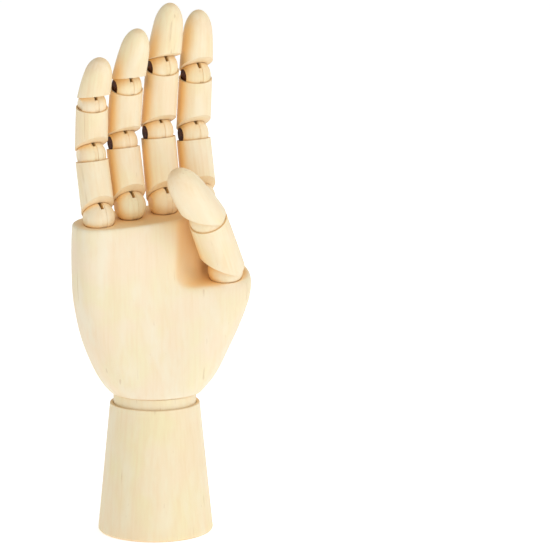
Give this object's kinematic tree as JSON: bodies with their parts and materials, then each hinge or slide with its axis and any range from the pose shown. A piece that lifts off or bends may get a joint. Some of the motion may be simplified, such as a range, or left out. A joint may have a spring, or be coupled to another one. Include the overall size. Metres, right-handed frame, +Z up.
{
  "type": "artist mannequin hand",
  "caption": "Jointed wooden right hand on a tapered forearm stand; ball-jointed fingers and thumb on hidden springs, for posing when drawing.",
  "frame": {"origin": "centre of the forearm's flat bottom face", "axes": "+Z up along the fingers, the palm side faces -Y, the thumb is on the +X side"},
  "size_m": [0.1025, 0.0786, 0.3024],
  "materials": {
    "forearm_wood": "sanded pale hardwood, clear satin, upright grain",
    "wrist_wood": "sanded pale hardwood, clear satin",
    "palm_wood": "sanded pale hardwood, clear satin, upright grain",
    "turned_wood": "turned pale hardwood, clear satin, grain along the finger",
    "ball_wood": "turned pale hardwood with darker end grain",
    "nail_steel": "bright drawn steel wire nail",
    "spring_wire": "drawn spring steel wire"
  },
  "bodies": {
    "forearm": {"forearm_stand": "forearm_wood", "forearm_nail": "nail_steel"},
    "wrist": {"wrist_block": "wrist_wood", "wrist_spring": "spring_wire"},
    "palm": {"palm_block": "palm_wood", "palm_nails": "nail_steel", "knuckle_springs": "spring_wire"},
    "little_knuckle": {"little_knuckle_ball": "ball_wood"},
    "little_proximal": {"little_proximal": "turned_wood", "little_proximal_nail": "nail_steel", "little_middle_spring": "spring_wire"},
    "little_middle_joint": {"little_middle_ball": "ball_wood"},
    "little_middle": {"little_middle": "turned_wood", "little_middle_nail": "nail_steel", "little_tip_spring": "spring_wire"},
    "little_tip_joint": {"little_tip_ball": "ball_wood"},
    "little_tip": {"little_tip": "turned_wood", "little_tip_nail": "nail_steel"},
    "ring_knuckle": {"ring_knuckle_ball": "ball_wood"},
    "ring_proximal": {"ring_proximal": "turned_wood", "ring_proximal_nail": "nail_steel", "ring_middle_spring": "spring_wire"},
    "ring_middle_joint": {"ring_middle_ball": "ball_wood"},
    "ring_middle": {"ring_middle": "turned_wood", "ring_middle_nail": "nail_steel", "ring_tip_spring": "spring_wire"},
    "ring_tip_joint": {"ring_tip_ball": "ball_wood"},
    "ring_tip": {"ring_tip": "turned_wood", "ring_tip_nail": "nail_steel"},
    "middle_knuckle": {"middle_knuckle_ball": "ball_wood"},
    "middle_proximal": {"middle_proximal": "turned_wood", "middle_proximal_nail": "nail_steel", "middle_middle_spring": "spring_wire"},
    "middle_middle_joint": {"middle_middle_ball": "ball_wood"},
    "middle_middle": {"middle_middle": "turned_wood", "middle_middle_nail": "nail_steel", "middle_tip_spring": "spring_wire"},
    "middle_tip_joint": {"middle_tip_ball": "ball_wood"},
    "middle_tip": {"middle_tip": "turned_wood", "middle_tip_nail": "nail_steel"},
    "index_knuckle": {"index_knuckle_ball": "ball_wood"},
    "index_proximal": {"index_proximal": "turned_wood", "index_proximal_nail": "nail_steel", "index_middle_spring": "spring_wire"},
    "index_middle_joint": {"index_middle_ball": "ball_wood"},
    "index_middle": {"index_middle": "turned_wood", "index_middle_nail": "nail_steel", "index_tip_spring": "spring_wire"},
    "index_tip_joint": {"index_tip_ball": "ball_wood"},
    "index_tip": {"index_tip": "turned_wood", "index_tip_nail": "nail_steel"},
    "thumb_knuckle": {"thumb_ball": "ball_wood"},
    "thumb_proximal": {"thumb_proximal": "turned_wood", "thumb_proximal_nail": "nail_steel", "thumb_tip_spring": "spring_wire"},
    "thumb_tip_joint": {"thumb_tip_ball": "ball_wood"},
    "thumb_tip": {"thumb_tip": "turned_wood", "thumb_tip_nail": "nail_steel"}
  },
  "joints": [
    {"name": "wrist_turn", "type": "hinge", "parent": "forearm", "child": "wrist", "pos_m": [0, 0, 0.074], "axis": [0, 0, 1], "range_deg": [-60, 60]},
    {"name": "wrist_bend", "type": "hinge", "parent": "wrist", "child": "palm", "pos_m": [0, 0, 0.0607], "axis": [1, 0, 0], "range_deg": [-25, 30], "deforming": ["wrist_spring"]},
    {"name": "little_spread", "type": "hinge", "parent": "palm", "child": "little_knuckle", "pos_m": [-0.034, -0.002, 0.1824], "axis": [0, 1, 0], "range_deg": [-12, 1], "deforming": ["knuckle_springs"]},
    {"name": "little_bend", "type": "hinge", "parent": "little_knuckle", "child": "little_proximal", "pos_m": [-0.034, -0.002, 0.1824], "axis": [0.9976, 0, 0.0698], "range_deg": [-2, 45], "deforming": ["knuckle_springs"]},
    {"name": "little_middle_bend", "type": "hinge", "parent": "little_proximal", "child": "little_middle_joint", "pos_m": [-0.03641, 0.00224, 0.21686], "axis": [0.9976, 0, 0.0698], "range_deg": [-10, 21], "deforming": ["little_middle_spring"]},
    {"name": "little_middle_follow", "type": "hinge", "parent": "little_middle_joint", "child": "little_middle", "pos_m": [-0.03641, 0.00224, 0.21686], "axis": [0.9976, 0, 0.0698], "range_deg": [-10, 21], "deforming": ["little_middle_spring"]},
    {"name": "little_tip_bend", "type": "hinge", "parent": "little_middle", "child": "little_tip_joint", "pos_m": [-0.03846, -0.00455, 0.24621], "axis": [0.9976, 0, 0.0698], "range_deg": [-10.5, 20.5], "deforming": ["little_tip_spring"]},
    {"name": "little_tip_follow", "type": "hinge", "parent": "little_tip_joint", "child": "little_tip", "pos_m": [-0.03846, -0.00455, 0.24621], "axis": [0.9976, 0, 0.0698], "range_deg": [-10.5, 20.5], "deforming": ["little_tip_spring"]},
    {"name": "ring_spread", "type": "hinge", "parent": "palm", "child": "ring_knuckle", "pos_m": [-0.0143, 0, 0.187], "axis": [0, 1, 0], "range_deg": [-1.2, 1.2], "deforming": ["knuckle_springs"]},
    {"name": "ring_bend", "type": "hinge", "parent": "ring_knuckle", "child": "ring_proximal", "pos_m": [-0.0143, 0, 0.187], "axis": [0.9981, 0, 0.061], "range_deg": [-8, 45], "deforming": ["knuckle_springs"]},
    {"name": "ring_middle_bend", "type": "hinge", "parent": "ring_proximal", "child": "ring_middle_joint", "pos_m": [-0.01646, 0.00498, 0.22238], "axis": [0.9981, 0, 0.061], "range_deg": [-13.5, 17.5], "deforming": ["ring_middle_spring"]},
    {"name": "ring_middle_follow", "type": "hinge", "parent": "ring_middle_joint", "child": "ring_middle", "pos_m": [-0.01646, 0.00498, 0.22238], "axis": [0.9981, 0, 0.061], "range_deg": [-13.5, 17.5], "deforming": ["ring_middle_spring"]},
    {"name": "ring_tip_bend", "type": "hinge", "parent": "ring_middle", "child": "ring_tip_joint", "pos_m": [-0.0185, -0.00648, 0.25561], "axis": [0.9981, 0, 0.061], "range_deg": [-7.5, 23.5], "deforming": ["ring_tip_spring"]},
    {"name": "ring_tip_follow", "type": "hinge", "parent": "ring_tip_joint", "child": "ring_tip", "pos_m": [-0.0185, -0.00648, 0.25561], "axis": [0.9981, 0, 0.061], "range_deg": [-7.5, 23.5], "deforming": ["ring_tip_spring"]},
    {"name": "middle_spread", "type": "hinge", "parent": "palm", "child": "middle_knuckle", "pos_m": [0.0065, 0.0005, 0.1878], "axis": [0, 1, 0], "range_deg": [-1.2, 1.2], "deforming": ["knuckle_springs"]},
    {"name": "middle_bend", "type": "hinge", "parent": "middle_knuckle", "child": "middle_proximal", "pos_m": [0.0065, 0.0005, 0.1878], "axis": [0.9986, 0, 0.0523], "range_deg": [-8, 42], "deforming": ["knuckle_springs"]},
    {"name": "middle_middle_bend", "type": "hinge", "parent": "middle_proximal", "child": "middle_middle_joint", "pos_m": [0.00445, 0.00393, 0.227], "axis": [0.9986, 0, 0.0523], "range_deg": [-11, 20], "deforming": ["middle_middle_spring"]},
    {"name": "middle_middle_follow", "type": "hinge", "parent": "middle_middle_joint", "child": "middle_middle", "pos_m": [0.00445, 0.00393, 0.227], "axis": [0.9986, 0, 0.0523], "range_deg": [-11, 20], "deforming": ["middle_middle_spring"]},
    {"name": "middle_tip_bend", "type": "hinge", "parent": "middle_middle", "child": "middle_tip_joint", "pos_m": [0.00244, -0.00776, 0.2652], "axis": [0.9986, 0, 0.0523], "range_deg": [-4, 27], "deforming": ["middle_tip_spring"]},
    {"name": "middle_tip_follow", "type": "hinge", "parent": "middle_tip_joint", "child": "middle_tip", "pos_m": [0.00244, -0.00776, 0.2652], "axis": [0.9986, 0, 0.0523], "range_deg": [-4, 27], "deforming": ["middle_tip_spring"]},
    {"name": "index_spread", "type": "hinge", "parent": "palm", "child": "index_knuckle", "pos_m": [0.0276, -0.001, 0.1886], "axis": [0, -1, 0], "range_deg": [-12, 1], "deforming": ["knuckle_springs"]},
    {"name": "index_bend", "type": "hinge", "parent": "index_knuckle", "child": "index_proximal", "pos_m": [0.0276, -0.001, 0.1886], "axis": [0.9986, 0, 0.0523], "range_deg": [-8, 45], "deforming": ["knuckle_springs"]},
    {"name": "index_middle_bend", "type": "hinge", "parent": "index_proximal", "child": "index_middle_joint", "pos_m": [0.02572, 0.00341, 0.22448], "axis": [0.9986, 0, 0.0523], "range_deg": [-10, 21], "deforming": ["index_middle_spring"]},
    {"name": "index_middle_follow", "type": "hinge", "parent": "index_middle_joint", "child": "index_middle", "pos_m": [0.02572, 0.00341, 0.22448], "axis": [0.9986, 0, 0.0523], "range_deg": [-10, 21], "deforming": ["index_middle_spring"]},
    {"name": "index_tip_bend", "type": "hinge", "parent": "index_middle", "child": "index_tip_joint", "pos_m": [0.02392, -0.00451, 0.25873], "axis": [0.9986, 0, 0.0523], "range_deg": [-0.5, 30.5], "deforming": ["index_tip_spring"]},
    {"name": "index_tip_follow", "type": "hinge", "parent": "index_tip_joint", "child": "index_tip", "pos_m": [0.02392, -0.00451, 0.25873], "axis": [0.9986, 0, 0.0523], "range_deg": [-0.5, 30.5], "deforming": ["index_tip_spring"]},
    {"name": "thumb_swing", "type": "hinge", "parent": "palm", "child": "thumb_knuckle", "pos_m": [0.0375, -0.014, 0.1489], "axis": [-0.9966, 0.0325, -0.0757], "range_deg": [-20, 2], "deforming": ["knuckle_springs"]},
    {"name": "thumb_fold", "type": "hinge", "parent": "thumb_knuckle", "child": "thumb_proximal", "pos_m": [0.0375, -0.014, 0.1489], "axis": [0, 0.919, 0.3942], "range_deg": [-5, 38], "deforming": ["knuckle_springs"]},
    {"name": "thumb_tip_bend", "type": "hinge", "parent": "thumb_proximal", "child": "thumb_tip_joint", "pos_m": [0.02008, -0.02819, 0.18199], "axis": [0, 0.919, 0.3942], "range_deg": [-22, 5], "deforming": ["thumb_tip_spring"]},
    {"name": "thumb_tip_follow", "type": "hinge", "parent": "thumb_tip_joint", "child": "thumb_tip", "pos_m": [0.02008, -0.02819, 0.18199], "axis": [0, 0.919, 0.3942], "range_deg": [-22, 5], "deforming": ["thumb_tip_spring"]}
  ],
  "couplings": [
    {"joint": "little_middle_follow", "follows": "little_middle_bend", "ratio": 1},
    {"joint": "little_tip_follow", "follows": "little_tip_bend", "ratio": 1},
    {"joint": "ring_middle_follow", "follows": "ring_middle_bend", "ratio": 1},
    {"joint": "ring_tip_follow", "follows": "ring_tip_bend", "ratio": 1},
    {"joint": "middle_middle_follow", "follows": "middle_middle_bend", "ratio": 1},
    {"joint": "middle_tip_follow", "follows": "middle_tip_bend", "ratio": 1},
    {"joint": "index_middle_follow", "follows": "index_middle_bend", "ratio": 1},
    {"joint": "index_tip_follow", "follows": "index_tip_bend", "ratio": 1},
    {"joint": "thumb_tip_follow", "follows": "thumb_tip_bend", "ratio": 1}
  ]
}
